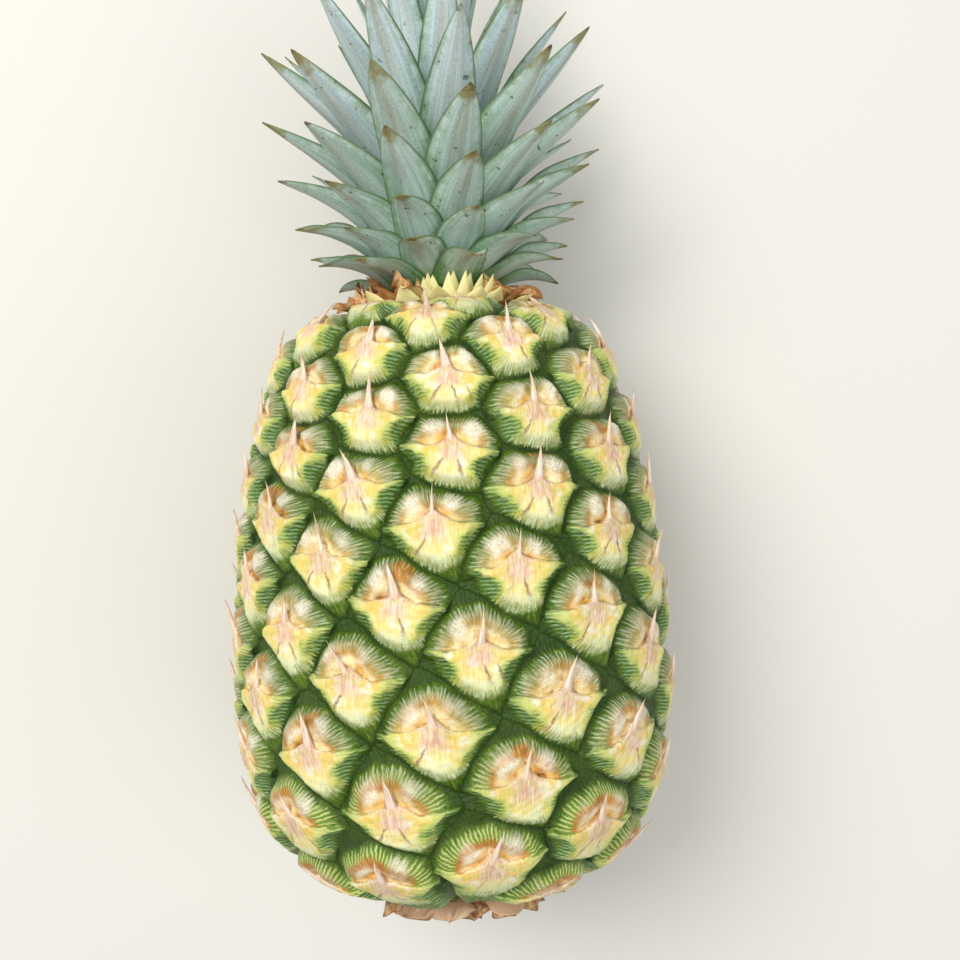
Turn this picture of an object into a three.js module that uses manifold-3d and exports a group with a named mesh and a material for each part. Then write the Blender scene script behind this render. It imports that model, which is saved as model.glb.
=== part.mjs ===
import * as THREE from "three";
import { ConvexHull } from "three/addons/math/ConvexHull.js";
import { mergeVertices } from "three/addons/utils/BufferGeometryUtils.js";
import Module from "manifold-3d";

// A pineapple with its leafy top, cut from its stalk and lying on its side.
// Millimetres, +Z up. Its axis runs along Y, with the cut stalk towards -Y and the leaves towards +Y.
// A station is a distance along that axis from the fruit's base. A turn is an angle round it, from +Z
// towards +X. A height is a distance along the axis from the top of the fruit.

// The fruit: its radius over the tops of the eyes, station by station
const FRUIT_LENGTH = 182;
const BASE_RADIUS = 30;
const NECK_RADIUS = 26;
const OUTLINE_STEPS = 600;
const FRUIT_OUTLINE = [
  [0, BASE_RADIUS],
  [2.2, 40],
  [6.4, 47.9],
  [11.4, 54.1],
  [18.3, 59.8],
  [27.5, 64.3],
  [39.4, 67.8],
  [60.5, 70],
  [77, 69.7],
  [102.6, 68.3],
  [128.3, 65.2],
  [146.6, 60.9],
  [160.4, 56.8],
  [171.5, 51.5],
  [177, 46.3],
  [180.2, 40],
  [FRUIT_LENGTH, NECK_RADIUS],
];

// The eyes: one spiral from the base to the leaves, which closes round the back. On the front they stand
// a little closer together, and their rows lean. Angles are in radians and skin in square millimetres.
const FIRST_EYE = -66;
const LAST_EYE = 44;
const EYE_SPAN = 50;
const DIVERGENCE = 2.4054;
const DIVERGENCE_DRIFT = [0.5094, 0.3517];
const FRONT_EYE_TURN = -0.0387;
const SQUEEZE = [0.144, 0.1419];
const ROW_LEAN = [2.44, 8.02];
const SKIN_BELOW_FRONT_EYE = 53490;
const EYE_SKIN = 668;
const EYE_SKIN_DRIFT = -3455;
const EYE_RELIEF = 2.4;
const EYE_SHOULDER = 0.6;
const EYE_SHOULDER_DROP = 0.5;
const RIM_POINTS = 12;
const POLE_LATITUDE = 3;

// The leafy top: its stem, and leaves in a spiral from the lowest and outermost to the innermost
const STEM_FOOT_RADIUS = 16;
const STEM_TIP_RADIUS = 2.5;
const STEM_HEIGHT = 64;
const STEM_SIDES = 20;
const LEAF_COUNT = 98;
const LOOSE_LEAVES = 52;
const FIRST_LEAF_TURN = THREE.MathUtils.degToRad(186);
const LEAF_DIVERGENCE = THREE.MathUtils.degToRad(138.3);
const LEAF_FOOT = [6, 58];
const LEAF_TIP = [10, 170];
const LEAF_CROWDING = 0.6;
const LEAF_REACH = [41, 58, 6];
const LEAF_WIDTH = [16, 20, 8];
const WIDEST_SHARE = 0.55;
const LEAF_LEAVES_AT = [0.85, 0.12];
const LEAF_ARRIVES_AT = [1.75, 0.1];
const LEAF_BEND = [0.34, 0.42];
const LEAF_THICKNESS = 1.2;
const LEAF_THINNING = 0.7;
const LEAF_EDGE = 0.5;
const LEAF_TAPER = [3, 0.95];
const LEAF_CHANNEL = 0.45;
const LEAF_CLASP = 0.85;
const LEAF_OPENS = [0.1, 0.6];
const LEAF_STATIONS = [7, 6];

// The dry bracts round the neck
const COLLAR_RADIUS = 23.5;
const COLLAR_THICKNESS = 3;
const COLLAR_BRACTS = 16;
const COLLAR_BRACT = { width: 4.6, length: 8, lean: 0.55, thickness: 1.6, inset: 3, wander: 0.3 };

// The stalk's stub and the dry bracts that hang round it
const STUB_RADIUS = 13.5;
const STUB_LENGTH = 9;
const STUB_CHAMFER = 1;
const SKIRT_RADIUS = 27;
const SKIRT_THICKNESS = 2;
const SKIRT_BRACTS = 11;
const SKIRT_BRACT = { width: 6.5, length: [10, 20], lean: [0.5, 1], thickness: 1.4, inset: 5 };
const RING_BEVEL = 2;

// How it lies, the clearance between neighbours, and the least that a cut leaves of an edge or a face
const GAP = 0.3;
const LEAF_GAP = 0.55;
const LEAST_EDGE = 0.15;
const LEAST_WIDTH = 0.15;
const SWAP_PASSES = 4;
const SAME_PLACE = 1e-4;
const LOOSE_SEAT = GAP + LEAF_THICKNESS / 2;
const REST_TILT = THREE.MathUtils.degToRad(2.3);
const REST_FLAT = 2;

const COLOURS = {
  fruit: 0xd8c070,
  stub: 0xc8b080,
  skirt: 0xa88458,
  collar: 0xc89858,
  leaf: 0x9db2ab,
  heart: 0xa9bcbc,
};

const wasm = await Module();
wasm.setup();

const { clamp, lerp, smoothstep } = THREE.MathUtils;

// A closed geometry as a solid, with its shared vertices merged and its collapsed triangles dropped
function solidFrom(geometry) {
  const bare = new THREE.BufferGeometry();
  bare.setAttribute("position", geometry.getAttribute("position"));
  bare.setIndex(geometry.getIndex());
  const merged = mergeVertices(bare, SAME_PLACE);
  const corners = merged.index.array;
  const kept = [];
  for (let i = 0; i < corners.length; i += 3) {
    const [a, b, c] = corners.subarray(i, i + 3);
    if (a !== b && b !== c && c !== a) kept.push(a, b, c);
  }
  const mesh = new wasm.Mesh({
    numProp: 3,
    vertProperties: merged.getAttribute("position").array,
    triVerts: new Uint32Array(kept),
  });
  return new wasm.Manifold(mesh);
}

function geometryFrom(solid) {
  const mesh = solid.getMesh();
  const geometry = new THREE.BufferGeometry();
  geometry.setAttribute("position", new THREE.BufferAttribute(mesh.vertProperties, 3));
  geometry.setIndex(new THREE.BufferAttribute(mesh.triVerts, 1));
  geometry.computeVertexNormals();
  return geometry;
}

// The largest body of a solid, without loose scraps or sealed pockets
function mainBody(solid) {
  const bodies = solid.decompose();
  return bodies.reduce((best, body) => (body.volume() > best.volume() ? body : best));
}

// A cut solid without its slivers: each short edge is closed up, and the long edge of a flat triangle is
// swapped for the one that joins the two corners beside it
function withoutSlivers(solid) {
  const mesh = solid.getMesh();
  const points = [];
  for (let i = 0; i < mesh.numVert; i += 1) {
    points.push(new THREE.Vector3().fromArray(mesh.vertProperties, i * mesh.numProp));
  }
  let triangles = [];
  for (let i = 0; i < mesh.triVerts.length; i += 3) triangles.push([...mesh.triVerts.subarray(i, i + 3)]);
  const same = points.map((_, i) => i);
  const kept = (i) => (same[i] === i ? i : kept(same[i]));
  for (const triangle of triangles) {
    triangle.forEach((corner, side) => {
      const a = kept(corner);
      const b = kept(triangle[(side + 1) % 3]);
      if (a !== b && points[a].distanceTo(points[b]) < LEAST_EDGE) same[Math.max(a, b)] = Math.min(a, b);
    });
  }
  triangles = triangles.map((triangle) => triangle.map(kept)).filter((three) => new Set(three).size === 3);
  for (let pass = 0; pass < SWAP_PASSES; pass += 1) swapLongEdges(points, triangles);
  const geometry = new THREE.BufferGeometry().setFromPoints(points);
  geometry.setIndex(triangles.flat());
  return mainBody(solidFrom(geometry));
}

function narrowness(points, [a, b, c]) {
  const longest = Math.max(...[[a, b], [b, c], [c, a]].map(([p, q]) => points[p].distanceTo(points[q])));
  const across = points[b].clone().sub(points[a]).cross(points[c].clone().sub(points[a]));
  return across.length() / longest;
}

function swapLongEdges(points, triangles) {
  const owner = new Map();
  const claim = (triangle) => {
    triangle.forEach((corner, side) => owner.set(`${corner},${triangle[(side + 1) % 3]}`, triangle));
  };
  const release = (triangle) => {
    triangle.forEach((corner, side) => owner.delete(`${corner},${triangle[(side + 1) % 3]}`));
  };
  triangles.forEach(claim);
  for (const triangle of triangles) {
    if (narrowness(points, triangle) > LEAST_WIDTH) continue;
    const turns = [0, 1, 2].map((side) => [...triangle.slice(side), ...triangle.slice(0, side)]);
    const lengthOf = ([p, q]) => points[p].distanceTo(points[q]);
    const [a, b, c] = turns.reduce((best, turn) => (lengthOf(turn) > lengthOf(best) ? turn : best));
    const beside = owner.get(`${b},${a}`);
    const d = beside.find((corner) => corner !== a && corner !== b);
    if (owner.has(`${c},${d}`) || owner.has(`${d},${c}`)) continue;
    const before = Math.min(narrowness(points, triangle), narrowness(points, beside));
    if (Math.min(narrowness(points, [a, d, c]), narrowness(points, [d, b, c])) <= before) continue;
    release(triangle);
    release(beside);
    triangle.splice(0, 3, a, d, c);
    beside.splice(0, 3, d, b, c);
    claim(triangle);
    claim(beside);
  }
}

function boxesMeet(one, other) {
  const a = one.boundingBox();
  const b = other.boundingBox();
  return [0, 1, 2].every((axis) => a.min[axis] < b.max[axis] && b.min[axis] < a.max[axis]);
}

function revolved(points, sides) {
  const section = points.map(([radius, station]) => new THREE.Vector2(radius, station));
  return solidFrom(new THREE.LatheGeometry(section, sides));
}

// The outline as a table: at each station its radius, the arc length and the skin below it, and the
// latitude that it has when the skin is spread over a globe without changing its angles
function traceOutline() {
  const knots = FRUIT_OUTLINE.map(([station, radius]) => new THREE.Vector2(radius, station));
  const points = new THREE.SplineCurve(knots).getPoints(OUTLINE_STEPS);
  const rows = [{ station: 0, radius: points[0].x, arc: 0, skin: 0, latitude: 0 }];
  for (let i = 1; i < points.length; i += 1) {
    const below = rows[i - 1];
    const step = points[i].distanceTo(points[i - 1]);
    const radius = points[i].x;
    rows.push({
      station: Math.max(points[i].y, below.station),
      radius,
      arc: below.arc + step,
      skin: below.skin + Math.PI * (radius + below.radius) * step,
      latitude: below.latitude + step / radius,
    });
  }
  return rows;
}

const outline = traceOutline();
const outlineEnd = outline[outline.length - 1];

function lookUp(known, value, wanted) {
  const after = outline.findIndex((row) => row[known] >= value);
  const high = outline[clamp(after < 0 ? outline.length - 1 : after, 1, outline.length - 1)];
  const low = outline[outline.indexOf(high) - 1];
  const share = clamp((value - low[known]) / Math.max(high[known] - low[known], 1e-9), 0, 1);
  return lerp(low[wanted], high[wanted], share);
}

// Where eye k stands: its arc length from the base, and its turn
function eyePlace(k) {
  const share = k / EYE_SPAN;
  const spun = DIVERGENCE * k + DIVERGENCE_DRIFT[0] * share ** 2 + DIVERGENCE_DRIFT[1] * share ** 3;
  const even = FRONT_EYE_TURN - spun;
  const turn = even - (SQUEEZE[0] + SQUEEZE[1] * share) * Math.sin(even);
  const skin = SKIN_BELOW_FRONT_EYE + EYE_SKIN * k + EYE_SKIN_DRIFT * share ** 2;
  const lean = (ROW_LEAN[0] + ROW_LEAN[1] * share) * Math.sin(even);
  return { turn, arc: clamp(lookUp("skin", skin, "arc") + lean, 0, outlineEnd.arc) };
}

// A site on the fruit: its point and outward normal, and its place on the globe
function site(radius, station, turn, normalTilt, latitude, raised) {
  const away = new THREE.Vector3(Math.sin(turn), 0, Math.cos(turn));
  const point = away.clone().multiplyScalar(radius).setY(station);
  const normal = away.clone().multiplyScalar(Math.cos(normalTilt)).setY(Math.sin(normalTilt));
  const globe = away.clone().multiplyScalar(1 / Math.cosh(latitude)).setY(Math.tanh(latitude));
  return { point, normal, globe, raised };
}

function eyeSite(k) {
  const { arc, turn } = eyePlace(k);
  const rise = lookUp("arc", arc + 1, "station") - lookUp("arc", arc - 1, "station");
  const widening = lookUp("arc", arc + 1, "radius") - lookUp("arc", arc - 1, "radius");
  const latitude = lookUp("arc", arc, "latitude") - outlineEnd.latitude / 2;
  const radius = lookUp("arc", arc, "radius");
  const station = lookUp("arc", arc, "station");
  return site(radius, station, turn, Math.atan2(-widening, rise), latitude, true);
}

// The flat ends: a ring of sites round each rim, and one in the middle
function endSites() {
  const sites = [];
  const half = outlineEnd.latitude / 2;
  for (const [station, radius, side] of [[0, BASE_RADIUS, -1], [FRUIT_LENGTH, NECK_RADIUS, 1]]) {
    for (let i = 0; i < RIM_POINTS; i += 1) {
      const turn = (i / RIM_POINTS) * 2 * Math.PI;
      sites.push(site(radius, station, turn, (side * Math.PI) / 2, side * half, false));
    }
    sites.push(site(0, station, 0, (side * Math.PI) / 2, side * (half + POLE_LATITUDE), false));
  }
  return sites;
}

// The fruit: each eye is a low cell round its site, and cells meet at sunken corners, one for each
// triangle of neighbouring sites
function fruitSolid() {
  const sites = endSites();
  for (let k = FIRST_EYE; k <= LAST_EYE; k += 1) sites.push(eyeSite(k));
  const siteOf = new Map(sites.map((one) => [one.globe, one]));
  const vertices = [];
  const corners = new Map();
  const cornerOf = (face) => {
    if (!corners.has(face)) {
      const three = [face.edge, face.edge.next, face.edge.prev].map((edge) => siteOf.get(edge.head().point));
      const corner = { point: new THREE.Vector3(), sunk: 0 };
      for (const one of three) {
        const sunk = one.raised ? EYE_RELIEF / 3 : 0;
        corner.point.addScaledVector(one.point, 1 / 3).addScaledVector(one.normal, -sunk);
        corner.sunk += sunk;
      }
      corners.set(face, corner);
    }
    return corners.get(face);
  };
  const shoulder = (one, corner) => {
    const point = one.point.clone().lerp(corner.point, EYE_SHOULDER);
    const raise = Math.max(corner.sunk * EYE_SHOULDER - EYE_SHOULDER_DROP, 0);
    return one.raised ? point.addScaledVector(one.normal, raise) : point;
  };
  const hull = new ConvexHull().setFromPoints(sites.map((one) => one.globe));
  for (const face of hull.faces) {
    for (const edge of [face.edge, face.edge.next, face.edge.prev]) {
      const one = siteOf.get(edge.head().point);
      const near = cornerOf(face);
      const far = cornerOf(edge.next.twin.face);
      const inner = shoulder(one, near);
      const innerFar = shoulder(one, far);
      vertices.push(one.point, innerFar, inner);
      vertices.push(inner, innerFar, near.point);
      vertices.push(near.point, innerFar, far.point);
    }
  }
  return solidFrom(new THREE.BufferGeometry().setFromPoints(vertices));
}

// The half space that the fruit lies on, turned into the fruit's own frame. The few eyes that carry it
// are pressed flat there.
function groundSolid(fruit) {
  const lowest = new THREE.Box3();
  const geometry = geometryFrom(fruit).rotateX(-REST_TILT);
  lowest.setFromBufferAttribute(geometry.getAttribute("position"));
  const size = 4 * FRUIT_LENGTH;
  const ground = new THREE.BoxGeometry(size, size, size);
  ground.translate(0, 0, lowest.min.z + REST_FLAT - size / 2);
  ground.rotateX(REST_TILT);
  return solidFrom(ground);
}

function stemRadius(height) {
  return lerp(STEM_FOOT_RADIUS, STEM_TIP_RADIUS, height / STEM_HEIGHT);
}

// A size that runs from the lowest leaf through the widest part of the top to the innermost leaf
function swell([low, middle, top], share) {
  const first = lerp(low, middle, smoothstep(share, 0, WIDEST_SHARE));
  return lerp(first, top, smoothstep(share, WIDEST_SHARE, 1));
}

// The midrib of a leaf in the plane of the stem: up from its foot, outwards, and flatter at its tip.
// The foot of a loose leaf clears the stem, and that of an innermost leaf is sunk in it.
function leafMidrib(share, seat) {
  const rise = share - LEAF_CROWDING * share * (1 - share);
  const footHeight = lerp(...LEAF_FOOT, rise);
  const tipHeight = lerp(...LEAF_TIP, rise);
  const foot = new THREE.Vector2(stemRadius(footHeight) + seat, footHeight);
  const tip = new THREE.Vector2(swell(LEAF_REACH, share), tipHeight);
  const span = foot.distanceTo(tip);
  const leaves = lerp(...LEAF_LEAVES_AT, smoothstep(share, 0, 1));
  const arrives = lerp(...LEAF_ARRIVES_AT, share);
  const ahead = new THREE.Vector2(Math.sin(leaves), Math.cos(leaves)).multiplyScalar(span * LEAF_BEND[0]);
  const behind = new THREE.Vector2(Math.sin(arrives), Math.cos(arrives)).multiplyScalar(span * LEAF_BEND[1]);
  return new THREE.CubicBezierCurve(foot, foot.clone().add(ahead), tip.clone().sub(behind), tip);
}

// Leaf i: a channelled blade with six corners round it, thinner at its edges. Its foot clasps the stem. A
// grown leaf is larger all round, and serves to cut its neighbours clear.
function leafSolid(i, grown) {
  const share = i / (LEAF_COUNT - 1);
  const loose = i < LOOSE_LEAVES;
  const midrib = leafMidrib(share, loose ? LOOSE_SEAT : -LEAF_THICKNESS);
  const width = swell(LEAF_WIDTH, share);
  const stations = LEAF_STATIONS[loose ? 0 : 1];
  const vertices = [];
  for (let n = 0; n < stations; n += 1) {
    const along = n / (stations - 1);
    const point = midrib.getPointAt(along);
    const tangent = midrib.getTangentAt(along);
    const inward = new THREE.Vector2(-tangent.y, tangent.x);
    const full = (width / 2) * (1 - along ** LEAF_TAPER[0]) ** LEAF_TAPER[1];
    const half = Math.min(full, Math.max(point.x, STEM_TIP_RADIUS) * LEAF_CLASP) + grown;
    const wrap = point.x - Math.sqrt(Math.max(point.x ** 2 - half ** 2, 0));
    const channel = lerp(wrap, half * LEAF_CHANNEL, smoothstep(along, ...LEAF_OPENS));
    const thick = LEAF_THICKNESS * (1 - LEAF_THINNING * along ** 2);
    if (n === 0) point.addScaledVector(tangent, -grown);
    const put = (across, depth) => {
      const place = point.clone().addScaledVector(inward, depth);
      vertices.push(new THREE.Vector3(across, place.y, place.x));
    };
    if (n < stations - 1) {
      put(-half, channel - thick * LEAF_EDGE - grown);
      put(0, -thick - grown);
      put(half, channel - thick * LEAF_EDGE - grown);
      put(half, channel + grown);
      put(0, grown);
      put(-half, channel + grown);
    } else {
      point.addScaledVector(tangent, 2 * grown);
      put(0, 0);
    }
  }
  const triangles = [0, 4, 1, 0, 5, 4, 1, 3, 2, 1, 4, 3];
  const tip = vertices.length - 1;
  for (let ring = 0; ring < tip; ring += 6) {
    for (let side = 0; side < 6; side += 1) {
      const a = ring + side;
      const b = ring + ((side + 1) % 6);
      const above = Math.min(a + 6, tip);
      triangles.push(a, b, above);
      if (above < tip) triangles.push(b, b + 6, above);
    }
  }
  const geometry = new THREE.BufferGeometry().setFromPoints(vertices);
  geometry.setIndex(triangles);
  geometry.rotateY(FIRST_LEAF_TURN + i * LEAF_DIVERGENCE);
  geometry.translate(0, FRUIT_LENGTH, 0);
  return solidFrom(geometry);
}

// The stem inside the leafy top, larger by the clearance where it cuts the leaves
function stemSolid(grown) {
  const foot = FRUIT_LENGTH + GAP;
  return revolved(
    [
      [0, foot],
      [stemRadius(0) + grown, foot],
      [stemRadius(STEM_HEIGHT) + grown, FRUIT_LENGTH + STEM_HEIGHT],
      [0, FRUIT_LENGTH + STEM_HEIGHT + grown],
    ],
    STEM_SIDES,
  );
}

// The innermost leaves stand so close that they are one piece with the stem
function heartSolid() {
  const pieces = [stemSolid(0)];
  for (let i = LOOSE_LEAVES; i < LEAF_COUNT; i += 1) pieces.push(leafSolid(i, 0));
  return withoutSlivers(mainBody(wasm.Manifold.union(pieces)));
}

// The loose leaves, from the innermost outwards, each cut clear of those inside it
function looseLeaves() {
  const inside = [stemSolid(GAP)];
  for (let i = LOOSE_LEAVES; i < LEAF_COUNT; i += 1) inside.push(leafSolid(i, LEAF_GAP));
  const leaves = [];
  for (let i = LOOSE_LEAVES - 1; i >= 0; i -= 1) {
    let leaf = leafSolid(i, 0);
    for (const other of inside) {
      if (boxesMeet(leaf, other)) leaf = leaf.subtract(other);
    }
    leaves.unshift(withoutSlivers(mainBody(leaf)));
    inside.push(leafSolid(i, LEAF_GAP));
  }
  return leaves;
}

// A flat pointed bract that stands on a ring, leaning out from the axis. Its length runs along +Y.
function bractSolid(radius, turn, lean, width, length, thickness) {
  const bract = new THREE.ConeGeometry(1, length, 4);
  bract.scale(width, 1, thickness);
  bract.translate(0, length / 2, 0);
  bract.rotateX(lean);
  bract.translate(0, thickness, radius);
  bract.rotateY(turn);
  return solidFrom(bract);
}

// The collar: short bracts on a ring round the foot of the stem
function collarSolid() {
  const inner = STEM_FOOT_RADIUS + GAP;
  const ring = revolved(
    [
      [inner, 0],
      [COLLAR_RADIUS, 0],
      [COLLAR_RADIUS - RING_BEVEL, COLLAR_THICKNESS],
      [inner, COLLAR_THICKNESS],
      [inner, 0],
    ],
    STEM_SIDES,
  );
  const pieces = [ring];
  const { width, lean, thickness, inset, wander } = COLLAR_BRACT;
  for (let i = 0; i < COLLAR_BRACTS; i += 1) {
    const turn = ((i + wander * Math.sin(i * i)) / COLLAR_BRACTS) * 2 * Math.PI;
    const length = COLLAR_BRACT.length + Math.sin(3 * i);
    pieces.push(bractSolid(COLLAR_RADIUS - inset, turn, lean, width, length, thickness));
  }
  return wasm.Manifold.union(pieces).translate(0, FRUIT_LENGTH + GAP, 0);
}

// The skirt: ragged dry bracts that hang outwards from a ring round the stub
function skirtSolid() {
  const inner = STUB_RADIUS + GAP;
  const ring = revolved(
    [
      [inner, 0],
      [SKIRT_RADIUS, 0],
      [SKIRT_RADIUS - RING_BEVEL, SKIRT_THICKNESS],
      [inner, SKIRT_THICKNESS],
      [inner, 0],
    ],
    STEM_SIDES,
  );
  const pieces = [ring];
  const { width, thickness, inset } = SKIRT_BRACT;
  for (let i = 0; i < SKIRT_BRACTS; i += 1) {
    const turn = (i / SKIRT_BRACTS) * 2 * Math.PI;
    const vary = 0.5 + 0.5 * Math.sin(2.3 * i * i);
    const length = lerp(...SKIRT_BRACT.length, vary);
    const lean = lerp(...SKIRT_BRACT.lean, 1 - vary);
    pieces.push(bractSolid(SKIRT_RADIUS - inset, turn, lean, width, length, thickness));
  }
  const hanging = new THREE.Matrix4().makeRotationX(Math.PI).setPosition(0, -GAP, 0);
  return wasm.Manifold.union(pieces).transform(hanging.toArray());
}

function stubSolid() {
  const end = -GAP - STUB_LENGTH;
  return revolved(
    [
      [0, end],
      [STUB_RADIUS - STUB_CHAMFER, end],
      [STUB_RADIUS, end + STUB_CHAMFER],
      [STUB_RADIUS, -GAP],
      [0, -GAP],
    ],
    STEM_SIDES,
  );
}

// The whole, laid on its side with its lowest point at z = 0 under the middle of its box
const pineapple = new THREE.Group();

function add(name, solid, color, roughness) {
  const material = new THREE.MeshStandardMaterial({ color, roughness, metalness: 0, flatShading: true });
  const mesh = new THREE.Mesh(geometryFrom(solid), material);
  mesh.name = name;
  pineapple.add(mesh);
}

const wholeFruit = fruitSolid();
add("fruit_body", wholeFruit.subtract(groundSolid(wholeFruit)), COLOURS.fruit, 0.55);
add("stalk_stub", stubSolid(), COLOURS.stub, 0.85);
add("base_bracts", skirtSolid(), COLOURS.skirt, 0.9);
add("collar_bracts", collarSolid(), COLOURS.collar, 0.85);
add("leaf_heart", heartSolid(), COLOURS.heart, 0.6);
looseLeaves().forEach((leaf, i) => {
  add(`leaf_${String(i + 1).padStart(2, "0")}`, leaf, COLOURS.leaf, 0.6);
});

pineapple.rotation.x = -REST_TILT;
const box = new THREE.Box3().setFromObject(pineapple, true);
const middle = box.getCenter(new THREE.Vector3());
pineapple.position.set(-middle.x, -middle.y, -box.min.z);

export default pineapple;
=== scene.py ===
"""A ripe pineapple fruit with its leafy top, cut from its plant and laid on its side on a floor.

Sizes are in millimetres in the fruit's own coordinates: across, along its axis from the base (the
station), and up. to_world lays them down in metres, as the solids lie."""

import math

import bpy
import numpy as np
from mathutils import Matrix, Vector


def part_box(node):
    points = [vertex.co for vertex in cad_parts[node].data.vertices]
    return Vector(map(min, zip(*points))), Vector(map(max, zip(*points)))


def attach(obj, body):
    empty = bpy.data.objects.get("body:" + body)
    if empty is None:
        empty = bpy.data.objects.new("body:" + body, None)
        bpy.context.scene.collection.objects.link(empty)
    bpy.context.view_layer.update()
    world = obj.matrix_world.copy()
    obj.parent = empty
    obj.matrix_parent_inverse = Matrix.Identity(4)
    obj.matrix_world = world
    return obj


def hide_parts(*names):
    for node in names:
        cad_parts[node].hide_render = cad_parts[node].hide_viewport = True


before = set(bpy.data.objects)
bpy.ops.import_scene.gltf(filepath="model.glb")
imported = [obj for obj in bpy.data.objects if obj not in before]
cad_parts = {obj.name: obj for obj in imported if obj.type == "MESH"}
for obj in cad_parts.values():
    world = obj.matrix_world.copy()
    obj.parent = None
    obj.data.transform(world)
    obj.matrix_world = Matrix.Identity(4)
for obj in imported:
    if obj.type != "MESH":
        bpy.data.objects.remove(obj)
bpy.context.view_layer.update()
bpy.ops.object.select_all(action="DESELECT")

MM = 0.001
scene = bpy.context.scene
chance = np.random.default_rng(20261)

# How the fruit lies: tilted a little, its stub's middle where the solid stub has it
REST_TILT = math.radians(2.3)
STUB_MIDDLE = -4.8
stub_low, stub_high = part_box("stalk_stub")
tilt_cos, tilt_sin = math.cos(REST_TILT), math.sin(REST_TILT)
LIE = np.array([[1, 0, 0], [0, tilt_cos, tilt_sin], [0, -tilt_sin, tilt_cos]])
FOOT = np.array((stub_low + stub_high) / 2) - LIE @ np.array([0, STUB_MIDDLE * MM, 0])

# The fruit's outline, (station, radius), from the base to the neck under the leaves
FRUIT_OUTLINE = [
    (0, 30), (2.2, 40), (6.4, 47.9), (11.4, 54.1), (18.3, 59.8), (27.5, 64.3),
    (39.4, 67.8), (60.5, 70), (77, 69.7), (102.6, 68.3), (128.3, 65.2), (146.6, 60.9),
    (160.4, 56.8), (171.5, 51.5), (177, 46.3), (180.2, 40), (182, 26),
]
FRUIT_LENGTH = 182
OUTLINE_STEPS = 600

# The eyes stand in one long spiral, from FIRST_EYE at the base to LAST_EYE. TOP_EYES are the few
# after it that still show under the leaves
FIRST_EYE = -66
LAST_EYE = 44
TOP_EYES = [45, 47, 50, 53]
# Radians from one eye to the next, the skin in mm2 that an eye takes up, and the skin below eye 0
TURN_STEP = 2.4054
EYE_SKIN = 668
SKIN_BELOW = 53490
# No point further than this from an eye, along the outline, belongs to it
EYE_REACH = 42

# The points of the skin stand 0.5 mm apart, along the outline and round its middle
SKIN_STEP = 0.5
SKIN_COLUMNS = 880
GROOVE_DEPTH = 3.3
RIND_BANDS = 5
FLOOR_CLEARANCE = 0.05

# The leaves stand in a spiral too, on a tapering stem. The first and outermost ones are loose
LEAF_COUNT = 98
LOOSE_LEAVES = 52
LOOSE_GRID = (25, 11)
INNER_GRID = (19, 7)
FIRST_LEAF_TURN = 186
LEAF_TURN = 138.3
STEM_FOOT = 16
STEM_TIP = 2.5
STEM_HEIGHT = 64

# The cut stub of the stalk
STUB_RADIUS = 13.4
STUB_LENGTH = 8.8


def to_world(points):
    """Points of the fruit, in metres, where they lie on the floor."""
    return np.asarray(points) * MM @ LIE.T + FOOT


def smooth(low, high, value):
    """A soft step from 0 at low to 1 at high."""
    share = np.clip((value - low) / (high - low), 0, 1)
    return share * share * (3 - 2 * share)


def hump(offset, width):
    """A bell of that width, 1 where the offset is 0."""
    return np.exp(-0.5 * (offset / width) ** 2)


def wobble(points, wavelength, seed):
    """Gentle noise from -1 to 1: plane waves in seeded directions."""
    draw = np.random.default_rng(seed)
    total = np.zeros(points.shape[:-1])
    for _ in range(6):
        way = draw.normal(size=points.shape[-1])
        way *= 2 * math.pi / (np.linalg.norm(way) * wavelength * draw.uniform(0.7, 1.4))
        total += np.sin(points @ way + draw.uniform(0, 2 * math.pi))
    return total / 2.6


# The outline


def trace_outline():
    """The outline as a smooth curve: station, radius, arc length and area of the skin below."""
    knots = np.array(FRUIT_OUTLINE, float)
    last = len(knots) - 1
    at = np.linspace(0, last, OUTLINE_STEPS + 1)
    first = np.minimum(at.astype(int), last - 1)
    w = (at - first)[:, None]
    p0, p1 = knots[np.maximum(first - 1, 0)], knots[first]
    p2, p3 = knots[first + 1], knots[np.minimum(first + 2, last)]
    v0, v1 = (p2 - p0) / 2, (p3 - p1) / 2
    cubed = 2 * p1 - 2 * p2 + v0 + v1
    squared = -3 * p1 + 3 * p2 - 2 * v0 - v1
    curve = cubed * w**3 + squared * w**2 + v0 * w + p1
    steps = np.linalg.norm(np.diff(curve, axis=0), axis=1)
    bands = math.pi * (curve[1:, 1] + curve[:-1, 1]) * steps
    station = np.maximum.accumulate(curve[:, 0])
    return station, curve[:, 1], np.append(0, np.cumsum(steps)), np.append(0, np.cumsum(bands))


STATION, RADIUS, ARC, SKIN = trace_outline()
ARC_LENGTH = ARC[-1]


def radius_at(arc):
    return np.interp(arc, ARC, RADIUS)


def on_skin(turn, arc, lift):
    """The point at that turn and arc length, lifted off the outline by that much."""
    rise = np.interp(arc + 1, ARC, STATION) - np.interp(arc - 1, ARC, STATION)
    widening = radius_at(arc + 1) - radius_at(arc - 1)
    length = np.hypot(rise, widening)
    out, along = rise / length, -widening / length
    radius = radius_at(arc) + out * lift
    station = np.interp(arc, ARC, STATION) + along * lift
    return np.stack([radius * np.sin(turn), station, radius * np.cos(turn)], -1)


# The eyes


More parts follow.
